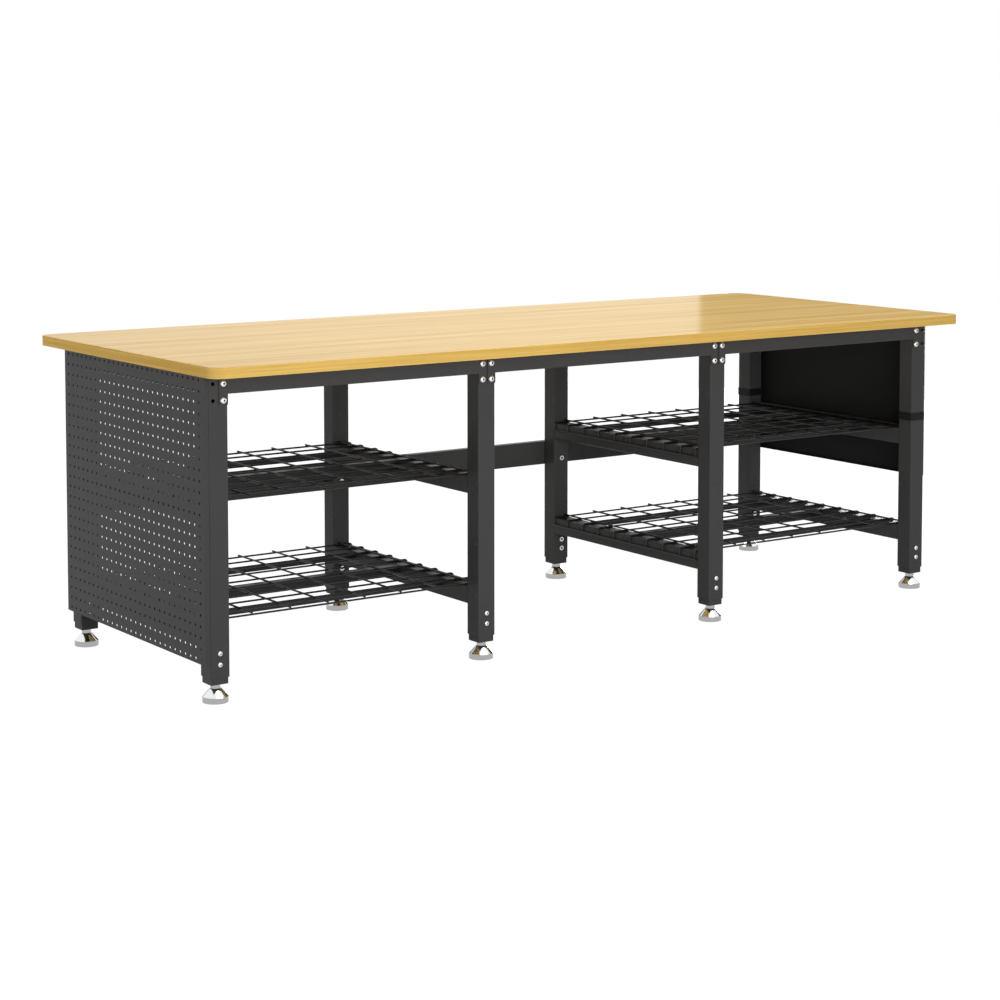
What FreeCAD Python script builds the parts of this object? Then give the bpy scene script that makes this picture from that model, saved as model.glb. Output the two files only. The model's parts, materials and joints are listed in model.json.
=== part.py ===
import FreeCAD, Part
import os

V = FreeCAD.Vector

# Bench frame, millimetres
peg_pitch = 25.4
bays = 3
bay_pitch = 731.6
frame_depth = 729.7
worktop_height = 775.8
worktop_thickness = 25.2
side_overhang = 39.5
front_overhang = 100.5
worktop_corner = 35.0
worktop_edge = 1.6

# Legs
leg_width = 49.0
leg_wall = 2.2
leg_bend = 2.8
leg_bottom = 60.0
dimple_rise = 13.5
dimple_pitch = 20.0
dimple_radius = 1.4
slide_gap = 0.5
inner_wall = 2.0
inner_bottom = 44.3
plate_thickness = 5.0
leg_travel = 8 * peg_pitch
slot_margin = 14.0

# Levelling feet
foot_radius = 30.0
foot_rim = 15.0
foot_edge = 1.6
neck_radius = 12.8
foot_height = 33.0
socket_depth = 9.0
stem_radius = 7.0
stem_gap = 0.3
stem_reserve = 4.0
foot_travel = 25.0
nut_across = 22.0

# Front and rear rails
rail_height = 46.6
rail_sheet = 2.0
rail_flange = 26.0
rail_setback = 3.0
ear_drop = 26.3
ear_gap = 3.0
ear_corner = 5.0

# Side rails
side_height = 44.4
side_wall = 1.8
side_bend = 3.0
lower_rail = 134.4
shelf_pitch = 272.0
side_hole_radius = 2.6
side_hole_drop = 9.4

# Wire decks
wire = 4.8
wire_bend = 9.0
wire_gap = 1.4
cross_pitch = 71.0
edge_inset = 6.8
long_pitch = 4 * peg_pitch
drop_depth = 21.0
drop_tail = 9.0
angle_height = 17.0
angle_foot = 18.0
angle_sheet = 1.6
angle_row = 209.5
tube_width = 25.4
tube_wall = 1.5

# Back beam
beam_bottom = 328.0
beam_height = 66.0
beam_depth = 20.0
beam_sheet = 2.0
beam_bolt_share = 1 / 3

# Panels
panel_sheet = 1.2
pan_depth = 12.7
pan_lip = 16.0
peg_radius = 3.175
peg_rows = 26
peg_margin = 11.0
peg_side_margin = 16.0
pan_top_gap = 2.4
side_panel_bottom = 316.0
side_panel_gap = 12.0
side_panel_lip = 14.0
strap_bottom = 476.4
strap_height = 21.0
strap_sheet = 2.0

# Fasteners
rail_bolt_radius = 4.0
rail_bolt_drop = 22.6
rail_head_radius = 7.8
rail_head_height = 4.2
rail_socket_across = 5.0
rail_socket_depth = 2.4
lock_bolt_radius = 3.0
lock_bolt_height = 90.3
lock_head_radius = 6.0
lock_head_height = 3.2
lock_nut_radius = 6.8
lock_nut_height = 4.0
screw_radius = 2.4
screw_head_radius = 5.0
screw_head_height = 2.6
screw_bite = 16.0
bolt_gap = 0.4
bolt_tip = 9.0

# How far every cutting tool runs past the face it enters
overrun = 2.0

# Places worked out from the sizes above
underside = worktop_height - worktop_thickness
half_depth = frame_depth / 2
half_leg = leg_width / 2
leg_count = bays + 1
leg_x = [(n - bays / 2) * bay_pitch for n in range(leg_count)]
leg_y = half_depth - half_leg
clear_y = half_depth - leg_width
inner_width = leg_width - 2 * (leg_wall + slide_gap)
bolt_rows = [underside - rail_bolt_drop, underside - rail_bolt_drop - 1.5 * peg_pitch]
lock_rows = [lock_bolt_height, lock_bolt_height + peg_pitch]
slot_radius = lock_bolt_radius + slide_gap
slot_top = lock_rows[1] + leg_travel
deck_bays = {"left": 0, "right": bays - 1}
levels = {"lower": lower_rail, "upper": lower_rail + shelf_pitch}
beam_bolt_height = beam_bottom + beam_bolt_share * beam_height
peg_columns = int((frame_depth - 2 * peg_side_margin) / peg_pitch) + 1
pegs_high = (peg_rows - 1) * peg_pitch
pan_top = underside - pan_top_gap
pan_bottom = pan_top - pegs_high - 2 * peg_margin


def box(x0, x1, y0, y1, z0, z1):
    return Part.makeBox(x1 - x0, y1 - y0, z1 - z0, V(x0, y0, z0))


def rod(radius, length, at, way):
    return Part.makeCylinder(radius, length, at, way)


def rounded(width, depth, radius, z):
    # A rectangle round the Z axis with arcs at its corners
    w = width / 2
    d = depth / 2
    corner = radius * (1 - 0.5 ** 0.5)
    stops = [(w - radius, d), (w - corner, d - corner), (w, d - radius)]
    edges = []
    last = None
    for sx, sy in ((1, 1), (1, -1), (-1, -1), (-1, 1)):
        turn = stops if sx * sy > 0 else stops[::-1]
        arc = [V(sx * x, sy * y, z) for x, y in turn]
        if last:
            edges.append(Part.makeLine(last, arc[0]))
        else:
            first = arc[0]
        edges.append(Part.Arc(*arc).toShape())
        last = arc[2]
    edges.append(Part.makeLine(last, first))
    return Part.Wire(edges)


def tube(width, depth, wall, bend, z0, z1):
    outer = rounded(width, depth, bend, z0)
    inner = rounded(width - 2 * wall, depth - 2 * wall, max(bend - wall, bend / 4), z0)
    return Part.makeFace([outer, inner], "Part::FaceMakerBullseye").extrude(V(0, 0, z1 - z0))


def turned(profile):
    # A profile of radius and height pairs spun round the Z axis
    points = [V(r, 0, z) for r, z in profile]
    face = Part.Face(Part.makePolygon(points + points[:1]))
    return face.revolve(V(0, 0, 0), V(0, 0, 1), 360)


def moved(shape, x, y, z):
    copy = shape.copy()
    copy.translate(V(x, y, z))
    return copy


def mirrored(shape):
    return shape.mirror(V(0, 0, 0), V(0, 1, 0))


def worktop():
    width = bays * bay_pitch + leg_width + 2 * side_overhang
    depth = frame_depth + 2 * front_overhang
    board = Part.Face(rounded(width, depth, worktop_corner, underside))
    board = board.extrude(V(0, 0, worktop_thickness))
    rims = [e for e in board.Edges if abs(e.Vertexes[0].Z - e.Vertexes[-1].Z) < worktop_edge]
    board = board.makeFillet(worktop_edge, rims)
    pilots = [
        rod(screw_radius + bolt_gap, screw_bite + 2 * overrun, V(x, y, underside - overrun), V(0, 0, 1))
        for x, y in screw_places()
    ]
    return board.cut(pilots)


def screw_places():
    inset = bay_pitch / 4
    line = half_depth + rail_sheet - rail_flange / 2
    centres = [(leg_x[n] + leg_x[n + 1]) / 2 for n in range(bays)]
    return [(x + s * inset, t * line) for x in centres for s in (-1, 1) for t in (-1, 1)]


def worktop_screws():
    screw = domed_bolt(screw_head_radius, screw_head_height, screw_radius, rail_sheet + screw_bite)
    return [placed(screw, V(x, y, underside - rail_sheet), V(0, 0, -1)) for x, y in screw_places()]


def outer_leg(through_rows):
    # Drawn at the centre with its rail holes towards -Y
    leg = tube(leg_width, leg_width, leg_wall, leg_bend, leg_bottom, underside)
    cuts = []
    for s in (-1, 1):
        for z in bolt_rows:
            at = V(s * peg_pitch / 2, -half_leg - overrun, z)
            cuts.append(rod(rail_bolt_radius + bolt_gap, leg_wall + 2 * overrun, at, V(0, 1, 0)))
        for face in (-1, 1):
            at = V(s * dimple_pitch / 2, face * (half_leg + overrun), leg_bottom + dimple_rise)
            cuts.append(rod(dimple_radius, overrun + leg_wall / 2, at, V(0, -face, 0)))
    for z in through_rows:
        at = V(0, -half_leg - overrun, z)
        cuts.append(rod(lock_bolt_radius + bolt_gap, leg_width + 2 * overrun, at, V(0, 1, 0)))
    return leg.cut(cuts)


def inner_leg():
    top = slot_top + slot_margin
    leg = tube(inner_width, inner_width, inner_wall, leg_bend - leg_wall, inner_bottom, top)
    half = inner_width / 2
    inside = half - inner_wall / 2
    plate = box(-inside, inside, -inside, inside, inner_bottom, inner_bottom + plate_thickness)
    leg = leg.fuse(plate).removeSplitter()
    low = V(0, -half - overrun, lock_rows[0])
    high = V(0, -half - overrun, slot_top)
    through = inner_width + 2 * overrun
    slot = rod(slot_radius, through, low, V(0, 1, 0)).fuse(rod(slot_radius, through, high, V(0, 1, 0)))
    slot = slot.fuse(box(-slot_radius, slot_radius, low.y, low.y + through, low.z, high.z))
    under = V(0, 0, inner_bottom - overrun)
    bore = rod(stem_radius + stem_gap, plate_thickness + 2 * overrun, under, V(0, 0, 1))
    return leg.cut([slot, bore])


def foot():
    hole = stem_radius + stem_gap
    seat = foot_height - socket_depth
    base = turned([
        (0, 0),
        (foot_radius - foot_edge, 0),
        (foot_radius, foot_edge),
        (foot_radius, foot_rim),
        (foot_radius - foot_edge, foot_rim + foot_edge),
        (neck_radius, foot_height),
        (hole, foot_height),
        (hole, seat),
        (0, seat),
    ])
    top = inner_bottom + plate_thickness + foot_travel + stem_reserve
    stem = turned([
        (0, seat),
        (stem_radius, seat),
        (stem_radius, top - foot_edge),
        (stem_radius - foot_edge, top),
        (0, top),
    ])
    return [base, stem]


def hexagon(across, z0, z1):
    corner = across / 3 ** 0.5
    turns = [FreeCAD.Rotation(V(0, 0, 1), 60 * n) for n in range(7)]
    ring = Part.makePolygon([turn.multVec(V(corner, 0, 0)) + V(0, 0, z0) for turn in turns])
    return Part.Face(ring).extrude(V(0, 0, z1 - z0))


def foot_nut():
    low = foot_height + stem_gap
    nut = hexagon(nut_across, low, inner_bottom)
    return nut.cut(rod(stem_radius + stem_gap, inner_bottom, V(0, 0, 0), V(0, 0, 1)))


def domed_bolt(head_radius, head_height, radius, length):
    # The dome stands above height 0 and the shank hangs below it
    diagonal = 0.5 ** 0.5
    top = V(0, 0, head_height)
    rim = V(head_radius, 0, 0)
    crown = Part.Arc(top, V(head_radius * diagonal, 0, head_height * diagonal), rim).toShape()
    rest = Part.makePolygon([rim, V(radius, 0, 0), V(radius, 0, -length), V(0, 0, -length), top])
    return Part.Face(Part.Wire([crown] + rest.Edges)).revolve(V(0, 0, 0), V(0, 0, 1), 360)


def placed(shape, at, way):
    # Turns a shape's +Z towards way and carries its origin to a point
    copy = shape.copy()
    copy.Placement = FreeCAD.Placement(at, FreeCAD.Rotation(V(0, 0, 1), way))
    return copy


def front_rail(bay):
    x0 = leg_x[bay] + ear_gap / 2
    x1 = leg_x[bay + 1] - ear_gap / 2
    face = -half_depth
    low = underside - rail_height
    web = box(x0, x1, face - rail_sheet, face, low, underside)
    ear = half_leg - ear_gap / 2
    for x in (x0, x1 - ear):
        web = web.fuse(box(x, x + ear, face - rail_sheet, face, low - ear_drop, low))
    web = web.removeSplitter()
    tips = [
        e for e in web.Edges
        if abs(e.BoundBox.YLength - rail_sheet) < bolt_gap and e.BoundBox.ZMax < low - ear_drop + bolt_gap
        and e.BoundBox.XLength < bolt_gap
    ]
    web = web.makeFillet(ear_corner, tips)
    f0 = leg_x[bay] + half_leg + rail_setback
    f1 = leg_x[bay + 1] - half_leg - rail_setback
    for z in (low, underside - rail_sheet):
        web = web.fuse(box(f0, f1, face - rail_sheet, face - rail_sheet + rail_flange, z, z + rail_sheet))
    web = web.removeSplitter()
    cuts = []
    for x in (leg_x[bay] + peg_pitch / 2, leg_x[bay + 1] - peg_pitch / 2):
        for z in bolt_rows:
            at = V(x, face - rail_sheet - overrun, z)
            cuts.append(rod(rail_bolt_radius + bolt_gap, rail_sheet + 2 * overrun, at, V(0, 1, 0)))
    for x, y in screw_places():
        at = V(x, y, underside - rail_sheet - overrun)
        cuts.append(rod(screw_radius + bolt_gap, rail_sheet + 2 * overrun, at, V(0, 0, 1)))
    return web.cut(cuts)


def rail_bolts():
    # Button heads with hex sockets outside the ears
    length = rail_sheet + leg_wall + bolt_tip
    bolt = domed_bolt(rail_head_radius, rail_head_height, rail_bolt_radius, length)
    socket_floor = rail_head_height - rail_socket_depth
    bolt = bolt.cut(hexagon(rail_socket_across, socket_floor, rail_head_height + overrun))
    bolts = []
    for bay in range(bays):
        for x in (leg_x[bay] + peg_pitch / 2, leg_x[bay + 1] - peg_pitch / 2):
            bolts += [placed(bolt, V(x, -half_depth - rail_sheet, z), V(0, -1, 0)) for z in bolt_rows]
    return bolts + [mirrored(b) for b in bolts]


def side_rail(bottom):
    rail = tube(leg_width, side_height, side_wall, side_bend, -clear_y, clear_y)
    rail.rotate(V(0, 0, 0), V(1, 0, 0), 90)
    hole = rod(side_hole_radius, leg_width + 2 * overrun, V(-half_leg - overrun, 0, 0), V(1, 0, 0))
    hole.translate(V(0, 0, side_height / 2 - side_hole_drop))
    return moved(rail.cut(hole), 0, 0, bottom + side_height / 2)


def round_wire(points):
    # A round bar along straight runs joined by bends
    edges = []
    start = points[0]
    for n in range(1, len(points) - 1):
        back = (points[n - 1] - points[n]).normalize()
        on = (points[n + 1] - points[n]).normalize()
        a = points[n] + back * wire_bend
        b = points[n] + on * wire_bend
        mid = points[n] + (back + on) * (wire_bend * (1 - 0.5 ** 0.5))
        edges += [Part.makeLine(start, a), Part.Arc(a, mid, b).toShape()]
        start = b
    edges.append(Part.makeLine(start, points[-1]))
    path = Part.Wire(edges)
    way = (points[1] - points[0]).normalize()
    ring = Part.Wire(Part.makeCircle(wire / 2, points[0], way))
    return path.makePipeShell([ring], True, True)


def deck():
    # Drawn with the rail tops at height 0 and the middle of the bay at the origin
    half_bay = bay_pitch / 2
    drop_x = half_bay + half_leg + wire_gap + wire / 2
    edge = clear_y - edge_inset
    rows = int(edge / cross_pitch)
    places = [(n + 0.5) * cross_pitch for n in range(rows)] + [edge]
    cross = round_wire([
        V(-drop_x, 0, wire / 2 - drop_depth + wire / 2),
        V(-drop_x, 0, wire / 2),
        V(drop_x, 0, wire / 2),
        V(drop_x, 0, wire / 2 - drop_depth + wire / 2),
    ])
    pieces = [moved(cross, 0, s * y, 0) for y in places for s in (-1, 1)]
    columns = int((half_bay + half_leg) / long_pitch + 0.5)
    for n in range(columns):
        for s in (-1, 1):
            at = V(s * (n + 0.5) * long_pitch, -edge - wire / 2, 1.5 * wire)
            pieces.append(rod(wire / 2, 2 * edge + wire, at, V(0, 1, 0)))
    for s in (-1, 1):
        at = V(s * drop_x, -edge - drop_tail, wire / 2 - drop_depth)
        pieces.append(rod(wire / 2, 2 * (edge + drop_tail), at, V(0, 1, 0)))
    return pieces


def deck_braces():
    # Two angles and a square tube lie along the bay between the side rails
    half = bay_pitch / 2 - half_leg
    pieces = []
    for s in (-1, 1):
        front = s * angle_row - angle_sheet / 2
        web = box(-half, half, front, front + angle_sheet, -angle_height, 0)
        shelf = box(-half, half, front, front + angle_foot, -angle_height, angle_sheet - angle_height)
        pieces.append(web.fuse(shelf).removeSplitter())
    bar = tube(tube_width, tube_width, tube_wall, tube_wall, -half, half)
    bar.rotate(V(0, 0, 0), V(0, 1, 0), 90)
    pieces.append(moved(bar, 0, 0, -tube_width / 2))
    return pieces


def back_beam():
    x0 = leg_x[0] - half_leg
    x1 = leg_x[-1] + half_leg
    y0 = half_depth
    top = beam_bottom + beam_height
    beam = box(x0, x1, y0, y0 + beam_depth, beam_bottom, top)
    hollow = box(x0 - overrun, x1 + overrun, y0 + beam_sheet, y0 + beam_depth + overrun,
                 beam_bottom + beam_sheet, top - beam_sheet)
    through = beam_sheet + 2 * overrun
    starts = [V(x, y0 - overrun, beam_bolt_height) for x in leg_x]
    holes = [rod(lock_bolt_radius + bolt_gap, through, at, V(0, 1, 0)) for at in starts]
    return beam.cut([hollow] + holes)


def through_bolt(x, front, back, z, way):
    # The head lies at front, the shank runs past back for its nut
    length = abs(back - front) + lock_nut_height
    bolt = domed_bolt(lock_head_radius, lock_head_height, lock_bolt_radius, length)
    return placed(bolt, V(x, front, z), V(0, -way, 0))


def through_nut(x, y, z, way):
    at = V(x, y, z)
    nut = rod(lock_nut_radius, lock_nut_height, at, V(0, way, 0))
    return nut.cut(rod(lock_bolt_radius + bolt_gap / 4, lock_nut_height + overrun, at, V(0, way, 0)))


def leg_fasteners():
    # Front legs have their heads in front, rear legs have them behind
    bolts, nuts, beam_bolts = [], [], []
    for x in leg_x:
        for way in (1, -1):
            front = -way * half_depth
            back = -way * clear_y
            for z in lock_rows:
                bolts.append(through_bolt(x, front, back, z, way))
                nuts.append(through_nut(x, back, z, way))
        beam_bolts.append(through_bolt(x, half_depth + beam_sheet, clear_y, beam_bolt_height, -1))
        nuts.append(through_nut(x, clear_y, beam_bolt_height, -1))
    return bolts, nuts, beam_bolts


def peg_places():
    first = -(peg_columns - 1) * peg_pitch / 2
    low = pan_bottom + peg_margin
    columns = [first + peg_pitch * n for n in range(peg_columns)]
    rows = [low + peg_pitch * n for n in range(peg_rows)]
    return [(y, z) for y in columns for z in rows]


def pegboard_panel():
    # A pan with a punched face, side walls back to the legs and lips against them
    x1 = leg_x[0] - half_leg
    x0 = x1 - pan_depth
    lows = [V(x0, y, pan_bottom) for y in (-half_depth, half_depth)]
    highs = [V(x0, y, pan_top) for y in (half_depth, -half_depth)]
    points = lows + highs
    outline = Part.makePolygon(points + points[:1])
    rings = [Part.Wire(Part.makeCircle(peg_radius, V(x0, y, z), V(1, 0, 0))) for y, z in peg_places()]
    face = Part.makeFace([outline] + rings, "Part::FaceMakerBullseye")
    sheet = face.extrude(V(panel_sheet, 0, 0))
    inner = x0 + panel_sheet
    walls = []
    for s in (-1, 1):
        y0, y1 = sorted((s * half_depth, s * (half_depth - panel_sheet)))
        walls.append(box(inner, x1, y0, y1, pan_bottom, pan_top))
        y0, y1 = sorted((s * half_depth, s * (half_depth - pan_lip)))
        walls.append(box(x1 - panel_sheet, x1, y0, y1, pan_bottom, pan_top))
    for z in (pan_bottom, pan_top - panel_sheet):
        walls.append(box(inner, x1, -half_depth, half_depth, z, z + panel_sheet))
    pan = sheet.fuse(walls)
    through = panel_sheet + 2 * overrun
    starts = [V(x1 - panel_sheet - overrun, y, z) for y, z in pan_screws()]
    return pan.cut([rod(screw_radius + bolt_gap, through, at, V(1, 0, 0)) for at in starts])


def pan_screws():
    line = half_depth - pan_lip / 2 - panel_sheet / 2
    ends = (pan_bottom + pegs_high / 4, pan_top - pegs_high / 4)
    return [(s * line, z) for s in (-1, 1) for z in ends]


def side_panel():
    # A plain pan outside the right-hand legs, clear of the wires that hang there
    x0 = leg_x[-1] + half_leg
    x1 = x0 + pan_depth
    y = half_depth - side_panel_gap
    pan = box(x0, x1, -y, y, side_panel_bottom, underside - pan_top_gap)
    hollow = box(x0 - overrun, x1 - panel_sheet, -y + panel_sheet, y - panel_sheet,
                 side_panel_bottom + panel_sheet, underside - pan_top_gap - panel_sheet)
    pan = pan.cut(hollow)
    cuts = []
    for s in (-1, 1):
        y0, y1 = sorted((s * (y - panel_sheet), s * (y - side_panel_lip)))
        lip = box(x0, x0 + panel_sheet, y0, y1, strap_top(), underside - pan_top_gap)
        pan = pan.fuse(lip)
        at = V(x0 - overrun, s * leg_y, bolt_rows[1])
        cuts.append(rod(screw_radius + bolt_gap, pan_depth + 2 * overrun, at, V(1, 0, 0)))
    return pan.removeSplitter().cut(cuts + strap_rooms())


def strap_top():
    return strap_bottom + strap_height + bolt_gap


def strap_rooms():
    # Room for the straps behind the panel's edges
    half = half_leg + strap_sheet + bolt_gap
    room = box(-half, half, -half, half, strap_bottom - bolt_gap, strap_top())
    return [moved(room, leg_x[-1], s * leg_y, 0) for s in (-1, 1)]


def panel_straps():
    size = leg_width + 2 * strap_sheet
    band = tube(size, size, strap_sheet, leg_bend + strap_sheet, strap_bottom, strap_bottom + strap_height)
    return [moved(band, leg_x[-1], s * leg_y, 0) for s in (-1, 1)]


def panel_screws():
    short = domed_bolt(screw_head_radius, screw_head_height, screw_radius, panel_sheet + leg_wall)
    x = leg_x[0] - half_leg - panel_sheet
    screws = [placed(short, V(x, y, z), V(-1, 0, 0)) for y, z in pan_screws()]
    long = domed_bolt(screw_head_radius, screw_head_height, screw_radius, pan_depth + leg_wall + bolt_tip)
    x = leg_x[-1] + half_leg + pan_depth
    return screws + [placed(long, V(x, s * leg_y, bolt_rows[1]), V(1, 0, 0)) for s in (-1, 1)]


def leg_side_holes(leg, n, row):
    # Outer legs carry the panels' screws in their outer walls
    cuts = []
    if n == 0:
        x = leg_x[0] - half_leg
        cuts = [(x, y, z) for y, z in pan_screws() if y * row > 0]
    if n == leg_count - 1:
        x = leg_x[-1] + half_leg
        cuts = [(x, row * leg_y, bolt_rows[1])]
    tools = [
        rod(screw_radius + bolt_gap, 2 * (leg_wall + overrun), V(x - leg_wall - overrun, y, z), V(1, 0, 0))
        for x, y, z in cuts
    ]
    return leg.cut(tools) if tools else leg


def build():
    nodes = {"worktop": worktop(), "worktop_screws": worktop_screws()}
    leg = {-1: outer_leg(lock_rows), 1: mirrored(outer_leg(lock_rows + [beam_bolt_height]))}
    inner, nut, shoe = inner_leg(), foot_nut(), foot()
    for row, side in ((-1, "front"), (1, "rear")):
        for n, x in enumerate(leg_x):
            tag = f"{side}_{n + 1}"
            nodes[f"outer_leg_{tag}"] = leg_side_holes(moved(leg[row], x, row * leg_y, 0), n, row)
            nodes[f"inner_leg_{tag}"] = moved(inner, x, row * leg_y, 0)
            nodes[f"foot_nut_{tag}"] = moved(nut, x, row * leg_y, 0)
            nodes[f"foot_{tag}"] = [moved(piece, x, row * leg_y, 0) for piece in shoe]
    for bay in range(bays):
        rail = front_rail(bay)
        nodes[f"front_rail_{bay + 1}"] = rail
        nodes[f"rear_rail_{bay + 1}"] = mirrored(rail)
    for n, x in enumerate(leg_x):
        heights = list(levels.values()) + [underside - side_height]
        nodes[f"side_rails_{n + 1}"] = [moved(side_rail(z), x, 0, 0) for z in heights]
    for side, bay in deck_bays.items():
        middle = (leg_x[bay] + leg_x[bay + 1]) / 2
        for level, z in levels.items():
            at = (middle, 0, z + side_height)
            nodes[f"deck_{side}_{level}"] = [moved(p, *at) for p in deck() + deck_braces()]
    nodes["back_beam"] = back_beam()
    nodes["pegboard_panel"] = pegboard_panel()
    nodes["side_panel"] = side_panel()
    nodes["panel_straps"] = panel_straps()
    nodes["panel_screws"] = panel_screws()
    nodes["rail_bolts"] = rail_bolts()
    nodes["lock_bolts"], nodes["lock_nuts"], nodes["beam_bolts"] = leg_fasteners()
    return nodes


os.makedirs("parts", exist_ok=True)
for name, shape in build().items():
    if isinstance(shape, list):
        shape = Part.makeCompound(shape)
    shape.exportStep(f"parts/{name}.step")
    print(name, len(shape.Solids), round(shape.Volume))
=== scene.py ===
import json
import math
import bmesh
import bpy
import numpy as np
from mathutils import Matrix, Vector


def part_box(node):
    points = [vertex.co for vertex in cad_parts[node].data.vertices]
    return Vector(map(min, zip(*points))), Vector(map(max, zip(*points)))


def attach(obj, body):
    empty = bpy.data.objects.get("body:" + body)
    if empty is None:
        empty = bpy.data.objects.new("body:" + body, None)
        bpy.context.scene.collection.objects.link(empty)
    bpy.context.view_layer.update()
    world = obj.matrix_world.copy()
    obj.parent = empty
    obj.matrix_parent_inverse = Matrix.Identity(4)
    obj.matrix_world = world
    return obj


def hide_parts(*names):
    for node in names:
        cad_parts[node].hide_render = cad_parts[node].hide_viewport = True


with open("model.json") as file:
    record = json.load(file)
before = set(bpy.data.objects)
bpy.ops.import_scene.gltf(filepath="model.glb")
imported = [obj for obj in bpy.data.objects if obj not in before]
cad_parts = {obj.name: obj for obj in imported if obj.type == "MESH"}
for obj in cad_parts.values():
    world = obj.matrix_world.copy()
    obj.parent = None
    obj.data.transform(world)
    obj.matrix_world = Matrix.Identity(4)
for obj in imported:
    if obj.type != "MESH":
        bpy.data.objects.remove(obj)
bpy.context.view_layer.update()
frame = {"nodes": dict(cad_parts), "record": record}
nodes = frame["nodes"]
print("stage: frame loaded,", len(nodes), "nodes")

millimetre = 0.001
sharpAngle = math.radians(40)  # faces that turn by more than this meet in a sharp edge
mixSockets = {"first": 6, "second": 7, "result": 2}  # the Mix node's colour sockets, by number
black = (0.0, 0.0, 0.0)
white = (1.0, 1.0, 1.0)


# small helpers for node materials
def startMaterial(name):
    mat = bpy.data.materials.new(name)
    mat.use_nodes = True
    return mat, mat.node_tree, mat.node_tree.nodes["Principled BSDF"]


def addNoise(tree, scale, detail, stretch=(1, 1, 1)):
    # noise on Object coordinates, stretched along the axes
    coords = tree.nodes.new("ShaderNodeTexCoord")
    mapping = tree.nodes.new("ShaderNodeMapping")
    mapping.inputs["Scale"].default_value = stretch
    noise = tree.nodes.new("ShaderNodeTexNoise")
    noise.inputs["Scale"].default_value = scale
    noise.inputs["Detail"].default_value = detail
    tree.links.new(coords.outputs["Object"], mapping.inputs["Vector"])
    tree.links.new(mapping.outputs["Vector"], noise.inputs["Vector"])
    return noise.outputs["Fac"]


def addRamp(tree, source, stops):
    ramp = tree.nodes.new("ShaderNodeValToRGB")
    spots = ramp.color_ramp.elements
    while len(spots) < len(stops):
        spots.new(0.5)  # moved to its place below
    for spot, (place, colour) in zip(spots, stops):
        spot.position = place
        spot.color = (*colour, 1)
    tree.links.new(source, ramp.inputs["Fac"])
    return ramp.outputs["Color"]


def addMix(tree, kind, amount, first, second):
    # the amount is a number or another node's output
    mix = tree.nodes.new("ShaderNodeMix")
    mix.data_type = "RGBA"
    mix.blend_type = kind
    if isinstance(amount, float):
        mix.inputs["Factor"].default_value = amount
    else:
        tree.links.new(amount, mix.inputs["Factor"])
    tree.links.new(first, mix.inputs[mixSockets["first"]])
    tree.links.new(second, mix.inputs[mixSockets["second"]])
    return mix.outputs[mixSockets["result"]]


def addBump(tree, shader, source, strength, distance):
    bump = tree.nodes.new("ShaderNodeBump")
    bump.inputs["Strength"].default_value = strength
    bump.inputs["Distance"].default_value = distance
    tree.links.new(source, bump.inputs["Height"])
    tree.links.new(bump.outputs["Normal"], shader.inputs["Normal"])


def addRange(tree, source, low, high):
    spread = tree.nodes.new("ShaderNodeMapRange")
    spread.inputs["To Min"].default_value = low
    spread.inputs["To Max"].default_value = high
    tree.links.new(source, spread.inputs["Value"])
    return spread.outputs["Result"]


def addFacing(tree, axis, stops):
    # a ramp on how far the surface faces along one axis, either way
    geometry = tree.nodes.new("ShaderNodeNewGeometry")
    parts = tree.nodes.new("ShaderNodeSeparateXYZ")
    tree.links.new(geometry.outputs["True Normal"], parts.inputs["Vector"])
    size = tree.nodes.new("ShaderNodeMath")
    size.operation = "ABSOLUTE"
    tree.links.new(parts.outputs[axis], size.inputs[0])
    return addRamp(tree, size.outputs[0], stops)


# powder coats: peel is the strength of the orange peel; the rails' near-black tone on faces that look
# along X is painted shade
paint = {
    "frame": {"colour": (0.036, 0.036, 0.0362), "rough": (0.22, 0.3), "peel": 0.05, "gloss": 0.05},
    # the panel's colour, darker than the frame's, is painted shade: the shade inside the bench put into
    # its paint
    "panel": {"colour": (0.011, 0.011, 0.0111), "rough": (0.45, 0.55), "peel": 0.05, "gloss": 0.03},
    "wire": {"colour": (0.006, 0.006, 0.0062), "rough": (0.34, 0.42), "peel": 0.03, "gloss": 0.25},
    "fastener": {"colour": (0.012, 0.012, 0.0125), "rough": (0.24, 0.32), "peel": 0.02, "gloss": 0.3},
    "strap": {"colour": (0.006, 0.006, 0.006), "rough": (0.55, 0.65), "peel": 0.08, "gloss": 0.1},
}
# the rails are the frame's paint with a near-black painted shade on faces that look along X, for the
# shadow in the gaps at the legs
paint["rail"] = dict(paint["frame"], cut=0.002)
coat = {
    "cloud": {"scale": 24.0, "detail": 3.0},
    "grit": {"scale": 900.0, "detail": 2.0},
    "gritDepth": 0.0004,
    "cutFacing": (0.85, 0.95),  # how squarely a face looks along X where the painted end shade begins and is full
}


def paintMaterial(kind):
    # one colour, fine orange peel, roughness that drifts a little
    given = paint[kind]
    mat, tree, shader = startMaterial(kind + "Paint")
    shader.inputs["Base Color"].default_value = (*given["colour"], 1)
    # faces that look along X get the near-black painted shade
    if "cut" in given:
        tones = (given["colour"], (given["cut"],) * 3)
        ends = addFacing(tree, "X", list(zip(coat["cutFacing"], tones)))
        tree.links.new(ends, shader.inputs["Base Color"])
    shader.inputs["Specular IOR Level"].default_value = given["gloss"]
    cloud = addNoise(tree, **coat["cloud"])
    tree.links.new(addRange(tree, cloud, *given["rough"]), shader.inputs["Roughness"])
    addBump(tree, shader, addNoise(tree, **coat["grit"]), given["peel"], coat["gritDepth"])
    return mat


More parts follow.
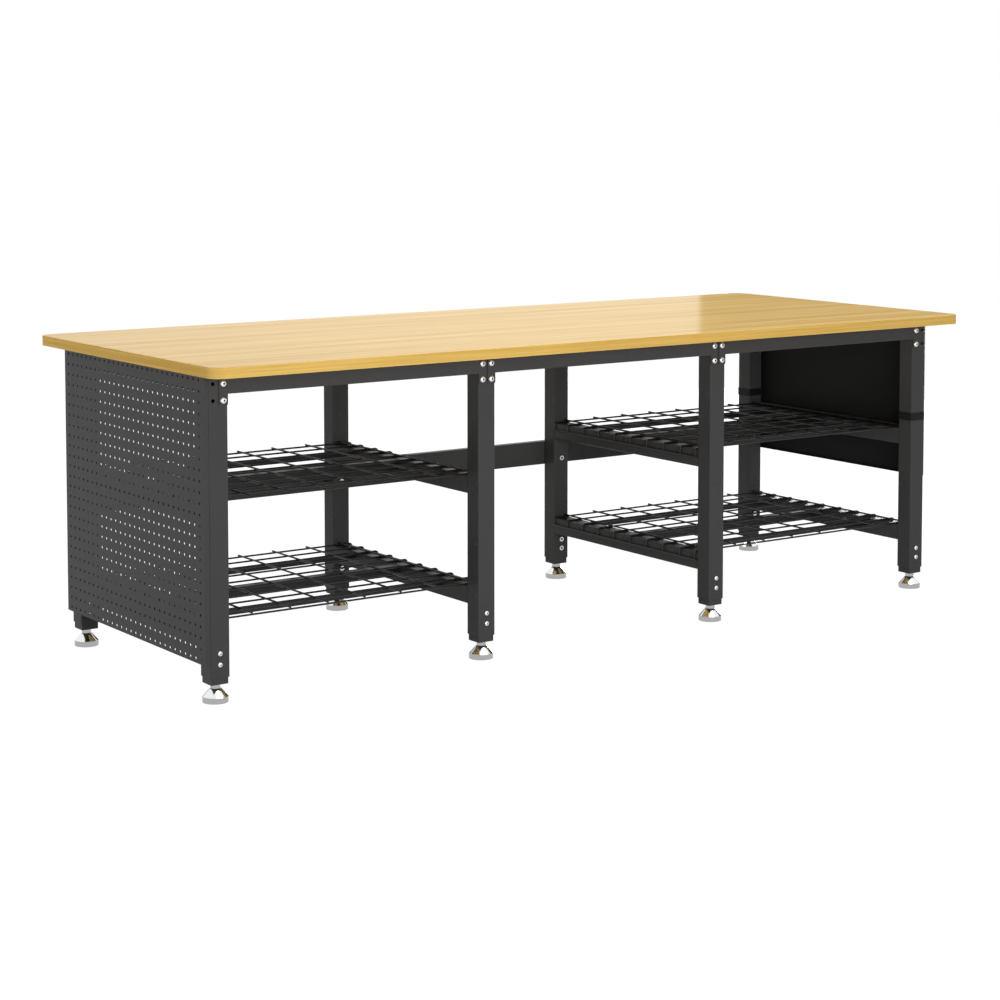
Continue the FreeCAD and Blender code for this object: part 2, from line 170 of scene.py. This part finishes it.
# plated metal: rim is the grey that upright turned faces get, darker than the slopes
plating = {
    "chrome": {"colour": (0.86, 0.86, 0.86), "rough": (0.1, 0.18), "rim": 0.4},
    "zinc": {"colour": (0.66, 0.66, 0.65), "rough": (0.24, 0.34)},
    # shade is a dark metal that paints the shade in bolt sockets and on shanks
    "shade": {"colour": (0.05, 0.05, 0.048), "rough": (0.4, 0.5)},
}
polish = {
    "cloud": {"scale": 160.0, "detail": 2.0},
    "rimFacing": (0.25, 0.45),  # how far a face looks along Z where the rim ends and the slope begins
}


def platedMaterial(kind):
    # one metal colour, roughness that drifts a little
    given = plating[kind]
    mat, tree, shader = startMaterial(kind + "Plating")
    shader.inputs["Base Color"].default_value = (*given["colour"], 1)
    if "rim" in given:
        tones = ((given["rim"],) * 3, given["colour"])
        slopes = addFacing(tree, "Z", list(zip(polish["rimFacing"], tones)))
        tree.links.new(slopes, shader.inputs["Base Color"])
    shader.inputs["Metallic"].default_value = 1.0
    cloud = addNoise(tree, **polish["cloud"])
    tree.links.new(addRange(tree, cloud, *given["rough"]), shader.inputs["Roughness"])
    return mat


# the board's layers: noise, the tones along it, and the share with which it darkens the bands
wood = {
    "bands": {
        "noise": {"stretch": (0.22, 7.0, 7.0), "scale": 2.4, "detail": 4.0},
        "tones": [(0.3, (0.77, 0.545, 0.23)), (0.5, (0.74, 0.515, 0.205)), (0.7, (0.7, 0.475, 0.175))],
    },
    "streaks": {
        "noise": {"stretch": (1.4, 70.0, 70.0), "scale": 3.0, "detail": 6.0},
        "tones": [(0.32, (0.88, 0.85, 0.78)), (0.62, white)],
        "share": 0.8,
    },
    "figure": {
        "noise": {"stretch": (0.45, 15.0, 15.0), "scale": 2.0, "detail": 3.0},
        "tones": [(0.36, (0.86, 0.81, 0.7)), (0.5, (0.97, 0.96, 0.94)), (0.6, white)],
        "share": 0.9,
    },
    "edge": {
        "noise": {"stretch": (0.8, 0.8, 60.0), "scale": 4.0, "detail": 5.0},
        "tones": [(0.36, (0.385, 0.24, 0.057)), (0.64, (0.465, 0.305, 0.086))],
    },
    "flat": [(0.6, black), (0.9, white)],  # how far a face looks along Z: edge grain below, top above
    "rough": (0.09, 0.13),
    "gloss": 0.0035,
    "pore": 0.08,
    "poreDepth": 0.0005,
}


def woodMaterial():
    # lacquered board: bands, a broad figure and fine streaks along X; upright faces show the edge grain
    mat, tree, shader = startMaterial("boardWood")
    shader.inputs["Specular IOR Level"].default_value = wood["gloss"]
    noise, tones = {}, {}
    for layer in ("bands", "streaks", "figure", "edge"):
        noise[layer] = addNoise(tree, **wood[layer]["noise"])
        tones[layer] = addRamp(tree, noise[layer], wood[layer]["tones"])
    top = tones["bands"]
    for layer in ("streaks", "figure"):
        top = addMix(tree, "MULTIPLY", wood[layer]["share"], top, tones[layer])
    flat = addFacing(tree, "Z", wood["flat"])
    tree.links.new(addMix(tree, "MIX", flat, tones["edge"], top), shader.inputs["Base Color"])
    tree.links.new(addRange(tree, noise["streaks"], *wood["rough"]), shader.inputs["Roughness"])
    addBump(tree, shader, noise["streaks"], wood["pore"], wood["poreDepth"])
    return mat


finish = {kind: paintMaterial(kind) for kind in paint}
finish.update({kind: platedMaterial(kind) for kind in plating})
finish["wood"] = woodMaterial()

slotFinish = {
    "wood": "wood",
    "black_paint": "frame",
    "wire_paint": "wire",
    "zinc_bolt": "zinc",
    "dark_bolt": "fastener",
    "strap_rubber": "strap",
    "chrome": "chrome",
}
slotOf = {part["node"]: part["material_slot"] for part in frame["record"]["subparts"]}
for name, ob in nodes.items():
    kind = slotFinish[slotOf[name]]
    # the side panel gets the darker paint that holds the painted shade
    if name == "side_panel":
        kind = "panel"
    elif name.startswith(("front_rail", "rear_rail")):
        kind = "rail"
    ob.data.materials.clear()
    ob.data.materials.append(finish[kind])
print("stage: finishes on the frame")


# meshes from arrays
def placeObject(name, data):
    ob = bpy.data.objects.new(name, data)
    bpy.context.scene.collection.objects.link(ob)
    return ob


def buildMesh(name, corners, faces, mat):
    mesh = bpy.data.meshes.new(name)
    mesh.from_pydata(np.asarray(corners, dtype=float).tolist(), [], faces)
    mesh.materials.append(mat)
    mesh.shade_smooth()
    mesh.set_sharp_from_angle(angle=sharpAngle)
    return placeObject(name, mesh)


def fullTurn(count):
    # that many angles, evenly round a circle
    return np.linspace(0, 2 * math.pi, count, endpoint=False)


def gridFaces(rows, columns):
    # quads of a grid that closes on itself along its columns
    row, column = np.meshgrid(np.arange(rows - 1) * columns, np.arange(columns), indexing="ij")
    after = (column + 1) % columns
    quads = [row + column, row + after, row + columns + after, row + columns + column]
    return np.stack(quads, -1).reshape(-1, 4).tolist()


def loopFaces(rows, columns):
    # the same with the last row joined to the first
    return (np.array(gridFaces(rows + 1, columns)) % (rows * columns)).tolist()


def endCaps(rows, columns):
    # one face over the first row and one over the last
    return [list(range(columns))[::-1], list(range((rows - 1) * columns, rows * columns))]


def joinParts(parts):
    # several (corners, faces) pairs as one
    corners, faces, count = [], [], 0
    for points, polygons in parts:
        corners.append(points)
        faces += [[index + count for index in polygon] for polygon in polygons]
        count += len(points)
    return np.concatenate(corners), faces


def outwards(ob):
    # turns every face outwards
    work = bmesh.new()
    work.from_mesh(ob.data)
    bmesh.ops.recalc_face_normals(work, faces=work.faces)
    work.to_mesh(ob.data)
    work.free()


# fasteners in millimetres: domed heads with a hex socket, and rounded nuts
railBolt = {
    "head": 7.8, "height": 4.2, "socket": 2.5, "depth": 2.4,
    "shank": 4.0, "reach": 13.2, "turns": 36,
}
lockBolt = {
    "head": 6.0, "height": 3.2, "socket": 1.7, "depth": 1.4,
    "shank": 3.0, "reach": 53.0, "turns": 30,
}
beamBolt = dict(lockBolt, reach=55.0)
lockNut = {"outer": 6.8, "bore": 3.1, "height": 4.0, "round": 0.6, "turns": 30}
boltForm = {
    "domeEnd": 1.18,  # radians
    "domeRings": 7,
    "domeBulge": 0.8,  # power of the cosine: the dome is fuller below 1
    "socketRim": 0.99,  # share of the head's height
    "socketTaper": 0.97,  # the socket's floor as a share of its rim
}
fastening = {
    "railBoltOffset": 12.7,  # from a leg's middle
    "lockHeights": (90.3, 115.7),  # from the floor
}
legRows = (("front", -1), ("rear", 1))  # with the way along Y that the row's outer faces look
legNumbers = (1, 2, 3, 4)
bayNumbers = legNumbers[:-1]


def spunPoints(radii, heights, turns):
    # rings of those radii (a number, or one for each angle) at those heights
    turn = fullTurn(turns)
    wide = np.stack([np.broadcast_to(np.asarray(radius, dtype=float), turn.shape) for radius in radii])
    tall = np.array(heights, dtype=float)[:, None] * np.ones_like(turn)
    return np.stack([wide * np.cos(turn), wide * np.sin(turn), tall], -1).reshape(-1, 3) * millimetre


def boltGrid(given):
    # a dome that rises as the sine while its radius falls as a power of the cosine
    # the socket's rings follow a hexagon; the shank and the socket are the faces that get painted shade
    turns, height = given["turns"], given["height"]
    rise = np.linspace(0, boltForm["domeEnd"], boltForm["domeRings"])
    dome = given["head"] * np.cos(rise) ** boltForm["domeBulge"]
    domeHeights = height * np.sin(rise) / np.sin(rise[-1])
    hexagon = given["socket"] / np.cos(fullTurn(turns) % (math.pi / 3) - math.pi / 6)
    radii = [given["shank"], given["shank"], *dome, hexagon, hexagon * boltForm["socketTaper"]]
    heights = [-given["reach"], 0, *domeHeights, height * boltForm["socketRim"], height - given["depth"]]
    sides = gridFaces(len(heights), turns)
    faces = sides + endCaps(len(heights), turns)
    shank = [*range(turns), len(sides)]
    socket = [*range(len(sides) - turns, len(sides)), len(sides) + 1]
    return spunPoints(radii, heights, turns), faces, shank + socket


def nutGrid(given):
    # a rounded ring round the bolt's end, its section a closed loop
    outer, bore, height, ease = given["outer"], given["bore"], given["height"], given["round"]
    radii = [bore, outer - ease, outer, outer, outer - ease, bore + ease, bore]
    heights = [0, 0, ease, height - ease, height, height, height - ease]
    return spunPoints(radii, heights, given["turns"]), loopFaces(len(heights), given["turns"]), []


def legMiddle(row, n):
    # a leg's middle along X, and its front and rear faces
    low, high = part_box(f"outer_leg_{row}_{n}")
    return (low[0] + high[0]) / 2, low[1], high[1]


def railBoltPlaces():
    # from the rails' faces, the bolt node's height and the legs' middles
    low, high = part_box("rail_bolts")
    head = railBolt["head"] * millimetre
    offset = fastening["railBoltOffset"] * millimetre
    places = []
    for row, side in legRows:
        for bay in bayNumbers:
            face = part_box(f"{row}_rail_{bay}")[0 if side < 0 else 1][1]
            for n, way in ((bay, 1), (bay + 1, -1)):
                x = legMiddle(row, n)[0] + way * offset
                places += [(x, face, z, side) for z in (low[2] + head, high[2] - head)]
    return places


def lockPlaces():
    # heads outside the legs, nuts on the faces that look at each other
    heads, nuts = [], []
    for row, side in legRows:
        for n in legNumbers:
            x, front, rear = legMiddle(row, n)
            outer, inner = (front, rear) if side < 0 else (rear, front)
            heads += [(x, outer, z * millimetre, side) for z in fastening["lockHeights"]]
            nuts += [(x, inner, z * millimetre, -side) for z in fastening["lockHeights"]]
    return heads, nuts


def beamPlaces():
    # heads on the beam, nuts on the front faces of the rear legs
    low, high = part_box("beam_bolts")
    z = (low[2] + high[2]) / 2
    heads, nuts = [], []
    for n in legNumbers:
        x, front, _ = legMiddle("rear", n)
        heads.append((x, high[1] - beamBolt["height"] * millimetre, z, 1))
        nuts.append((x, front, z, -1))
    return heads, nuts


def setFasteners(name, grid, places, node):
    # one copy of the grid at each place, its +Z turned to -Y or +Y; sockets and shanks get a dark metal
    # colour, painted shade
    points, faces, shaded = grid
    parts = []
    for x, y, z, side in places:
        turned = np.stack([points[:, 0] * -side, side * points[:, 2], points[:, 1]], -1)
        parts.append((turned + (x, y, z), faces))
    piece = buildMesh(name, *joinParts(parts), finish["zinc"])
    piece.data.materials.append(finish["shade"])
    look = np.zeros(len(faces), dtype=int)
    look[shaded] = 1
    piece.data.polygons.foreach_set("material_index", np.tile(look, len(places)))
    outwards(piece)
    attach(piece, "frame")
    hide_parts(node)


lockHeads, lockNuts = lockPlaces()
beamHeads, beamNuts = beamPlaces()
setFasteners("railBoltHeads", boltGrid(railBolt), railBoltPlaces(), "rail_bolts")
setFasteners("lockBoltHeads", boltGrid(lockBolt), lockHeads, "lock_bolts")
setFasteners("beamBoltHeads", boltGrid(beamBolt), beamHeads, "beam_bolts")
setFasteners("lockNutRings", nutGrid(lockNut), lockNuts + beamNuts, "lock_nuts")
print("stage: fasteners")


# wire decks in millimetres: round bars bent over the side rails, with their braces
deck = {
    "wire": 4.8, "bend": 9.0, "drop": 21.0, "tail": 9.0, "crossPitch": 71.0, "longPitch": 101.6,
    "railWide": 49.0, "gap": 1.4,  # gap is between a rail and the wire that hangs beside it
    "angleRow": 209.5, "angleHigh": 17.0, "angleFoot": 18.0, "angleSheet": 1.6,
    "tubeWide": 25.4, "tubeWall": 1.5,
}
deckMesh = {"sides": 14, "bendSteps": 8}


def bentPath(points, bend):
    # straight runs joined by quarter circles
    path = [points[0]]
    turn = np.linspace(0, math.pi / 2, deckMesh["bendSteps"])[:, None]
    for before, corner, after in zip(points, points[1:], points[2:]):
        back = (before - corner) / np.linalg.norm(before - corner)
        on = (after - corner) / np.linalg.norm(after - corner)
        middle = corner + bend * (back + on)
        path += list(middle - bend * on * np.cos(turn) - bend * back * np.sin(turn))
    return np.array(path + [points[-1]])


def sweptBar(path, across, radius):
    # circle of that radius carried along a flat path: across is square to the path's plane
    path = np.asarray(path, dtype=float)
    across = np.asarray(across, dtype=float)
    ways = np.gradient(path, axis=0)
    ways /= np.linalg.norm(ways, axis=1)[:, None]
    up = np.cross(ways, across)[:, None]
    turn = fullTurn(deckMesh["sides"])[None, :, None]
    rings = path[:, None] + radius * (np.cos(turn) * up + np.sin(turn) * across)
    size = rings.shape[:2]
    return rings.reshape(-1, 3), gridFaces(*size) + endCaps(*size)


def depthBar(x, reach, z, radius):
    # a straight wire from front to back
    return sweptBar([(x, -reach, z), (x, reach, z)], (1, 0, 0), radius)


def profileRun(outline, x0, x1):
    # a closed (y, z) outline carried along X, its ends filled
    count = len(outline)
    ends = [np.column_stack([np.full(count, x), outline]) for x in (x0, x1)]
    return np.concatenate(ends), gridFaces(2, count) + endCaps(2, count)


def squareTube(x0, x1, top, wide, wall):
    # an outer and an inner square carried along X and joined at both ends
    outer = np.array([(-1, -1), (1, -1), (1, 1), (-1, 1)]) * wide / 2
    inner = outer * (1 - 2 * wall / wide)
    loops = [(x0, outer), (x1, outer), (x1, inner), (x0, inner)]
    count = len(outer)
    points = [np.column_stack([np.full(count, x), loop + (0, top - wide / 2)]) for x, loop in loops]
    return np.concatenate(points), loopFaces(len(loops), count)


def makeDeck(side, level):
    node = f"deck_{side}_{level}"
    low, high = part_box(node)
    size = {key: value * millimetre for key, value in deck.items()}
    radius = size["wire"] / 2
    x0, x1 = low[0] + radius, high[0] - radius
    middle = (x0 + x1) / 2
    railTop = high[2] - 2 * size["wire"]
    edge = high[1] - size["tail"]

    # cross wires, bent down outside both rails
    rows = np.arange(int(edge / size["crossPitch"])) + 0.5
    rows = np.concatenate([rows * size["crossPitch"], [edge]])
    foot = railTop + size["wire"] - size["drop"]
    corners = [(x0, 0, foot), (x0, 0, railTop + radius), (x1, 0, railTop + radius), (x1, 0, foot)]
    cross, faces = sweptBar(bentPath(np.array(corners), size["bend"]), (0, 1, 0), radius)
    parts = [(cross + (0, y, 0), faces) for y in np.concatenate([rows, -rows])]

    # long wires on top of them, and one under their feet on each side
    columns = np.arange(int((x1 - x0) / 2 / size["longPitch"] + 0.5)) + 0.5
    for x in np.concatenate([columns, -columns]) * size["longPitch"]:
        parts.append(depthBar(middle + x, edge + radius, railTop + 3 * radius, radius))
    for x in (x0, x1):
        parts.append(depthBar(x, edge + size["tail"], railTop + radius - size["drop"], radius))

    # two angles and a square tube between the rails
    reach = x1 - middle - radius - size["gap"] - size["railWide"]
    sheet, tall, deep = size["angleSheet"], size["angleHigh"], size["angleFoot"]
    angle = [(0, 0), (0, -tall), (deep, -tall), (deep, sheet - tall), (sheet, sheet - tall), (sheet, 0)]
    for y in (-size["angleRow"], size["angleRow"]):
        outline = np.array(angle) + (y - sheet / 2, railTop)
        parts.append(profileRun(outline, middle - reach, middle + reach))
    parts.append(squareTube(middle - reach, middle + reach, railTop, size["tubeWide"], size["tubeWall"]))

    piece = buildMesh(f"{side}{level.title()}WireDeck", *joinParts(parts), finish["wire"])
    outwards(piece)
    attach(piece, "frame")
    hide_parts(node)


for side in ("left", "right"):
    for level in ("lower", "upper"):
        makeDeck(side, level)
print("stage: wire decks")


# camera: place in metres, turn and tilt in degrees, lens and sensor in millimetres
camera = {
    "place": (-3.5320, -4.9245, 1.3384),
    "turn": -35.110,
    "tilt": -4.210,
    "lens": 83.12,
    "sensor": 36.0,
    "shift": -0.22,
}
shot = bpy.data.cameras.new("shot")
shot.lens = camera["lens"]
shot.sensor_width = camera["sensor"]
shot.shift_y = camera["shift"]
shotOb = placeObject("shot", shot)
shotOb.location = camera["place"]
shotOb.rotation_euler = (math.radians(90 + camera["tilt"]), 0, math.radians(camera["turn"]))  # 90 is level
bpy.context.scene.camera = shotOb


# the room in metres: sky, floor, a dark screen and lamps
sky = {"fill": 0.38, "seen": 1.0}  # strength on the object, and where the camera or gloss sees it
floor = {
    "half": 40.0,
    "colour": (0.95, 0.95, 0.95),
    "rough": 0.9,
    "glow": 0.9,  # share of plain white that gloss sees in it
    "shine": 1.06,  # strength of that white
    "veil": 0.13,  # share of it that the camera sees
    "clear": (1.1, 1.1, 1.1),  # lifts what shows through the veil
}
screen = {"near": (6.77, 7.32), "far": (12.9, 2.2), "high": 7.0, "colour": (0.02, 0.02, 0.02)}
lamps = {
    "topLamp": {"place": (0.4, 0.2, 4.2), "aim": (0.4, 0.2, 0), "size": (6.0, 3.0), "power": 157.0},
    "lowLamp": {"place": (-1.0, -3.8, 1.0), "aim": (-0.2, 0, 0.6), "size": (2.0, 1.6), "power": 112.0},
    "leftLamp": {"place": (-4.6, 0.7, 0.42), "aim": (-1.0, 0, 0.42), "size": (2.4, 0.65), "power": 58.0},
    "backLamp": {"place": (4.4, 2.2, 0.38), "aim": (0, 0, 0.38), "size": (3.0, 0.65), "power": 100.0},
    "fillLamp": {"place": (3.4, -3.2, 2.4), "aim": (0, 0, 0.4), "size": (3.0, 3.0), "power": 10.0},
}


def anyRay(tree, kinds):
    # 1 for rays of any of those kinds
    path = tree.nodes.new("ShaderNodeLightPath")
    total = path.outputs[kinds[0]]
    for kind in kinds[1:]:
        highest = tree.nodes.new("ShaderNodeMath")
        highest.operation = "MAXIMUM"
        tree.links.new(total, highest.inputs[0])
        tree.links.new(path.outputs[kind], highest.inputs[1])
        total = highest.outputs[0]
    return total


def makeWorld():
    world = bpy.data.worlds.new("whiteRoom")
    bpy.context.scene.world = world
    world.use_nodes = True
    tree = world.node_tree
    back = tree.nodes["Background"]
    back.inputs["Color"].default_value = (*white, 1)
    seen = anyRay(tree, ("Is Camera Ray", "Is Glossy Ray", "Is Transmission Ray"))
    tree.links.new(addRange(tree, seen, sky["fill"], sky["seen"]), back.inputs["Strength"])


def addShaderMix(tree, share, first, second):
    mix = tree.nodes.new("ShaderNodeMixShader")
    tree.links.new(share, mix.inputs[0])
    tree.links.new(first.outputs[0], mix.inputs[1])
    tree.links.new(second.outputs[0], mix.inputs[2])
    return mix


def makeFloor():
    # the camera sees mostly through the floor, so legs drawn out below it show; the veil holds the shadow
    mat, tree, shader = startMaterial("paleFloor")
    shader.inputs["Base Color"].default_value = (*floor["colour"], 1)
    shader.inputs["Roughness"].default_value = floor["rough"]
    shader.inputs["Specular IOR Level"].default_value = 0.0
    glow = tree.nodes.new("ShaderNodeEmission")
    glow.inputs["Strength"].default_value = floor["shine"]
    mirrored = anyRay(tree, ("Is Glossy Ray", "Is Transmission Ray"))
    surface = addShaderMix(tree, addRange(tree, mirrored, 0.0, floor["glow"]), shader, glow)
    clear = tree.nodes.new("ShaderNodeBsdfTransparent")
    clear.inputs["Color"].default_value = (*floor["clear"], 1)
    direct = anyRay(tree, ("Is Camera Ray",))
    final = addShaderMix(tree, addRange(tree, direct, 1.0, floor["veil"]), clear, surface)
    tree.links.new(final.outputs[0], tree.nodes["Material Output"].inputs["Surface"])
    half = floor["half"]
    corners = [(-half, -half, 0), (half, -half, 0), (half, half, 0), (-half, half, 0)]
    buildMesh("studioFloor", corners, [[0, 1, 2, 3]], mat)


def makeScreen():
    # a dark screen far behind the right end: only gloss shows it, so the lacquer's sheen ends there
    mat, _, shader = startMaterial("darkScreen")
    shader.inputs["Base Color"].default_value = (*screen["colour"], 1)
    near, far, high = screen["near"], screen["far"], screen["high"]
    corners = [(*near, 0), (*far, 0), (*far, high), (*near, high)]
    sheet = buildMesh("sheenScreen", corners, [[0, 1, 2, 3]], mat)
    sheet.visible_camera = False
    sheet.visible_diffuse = False
    sheet.visible_shadow = False


def addLamp(name, place, aim, size, power):
    # a rectangle of light at a place, turned to face its aim
    lamp = bpy.data.lights.new(name, "AREA")
    lamp.shape = "RECTANGLE"
    lamp.size, lamp.size_y = size
    lamp.energy = power
    ob = placeObject(name, lamp)
    ob.location = place
    way = np.array(aim, dtype=float) - np.array(place, dtype=float)
    across = math.hypot(way[0], way[1])
    ob.rotation_euler = (math.atan2(across, -way[2]), 0, math.atan2(way[1], way[0]) - math.pi / 2)


makeWorld()
makeFloor()
makeScreen()
for name, given in lamps.items():
    addLamp(name, **given)
bpy.context.scene.view_settings.view_transform = "Standard"
print("stage: camera and light")
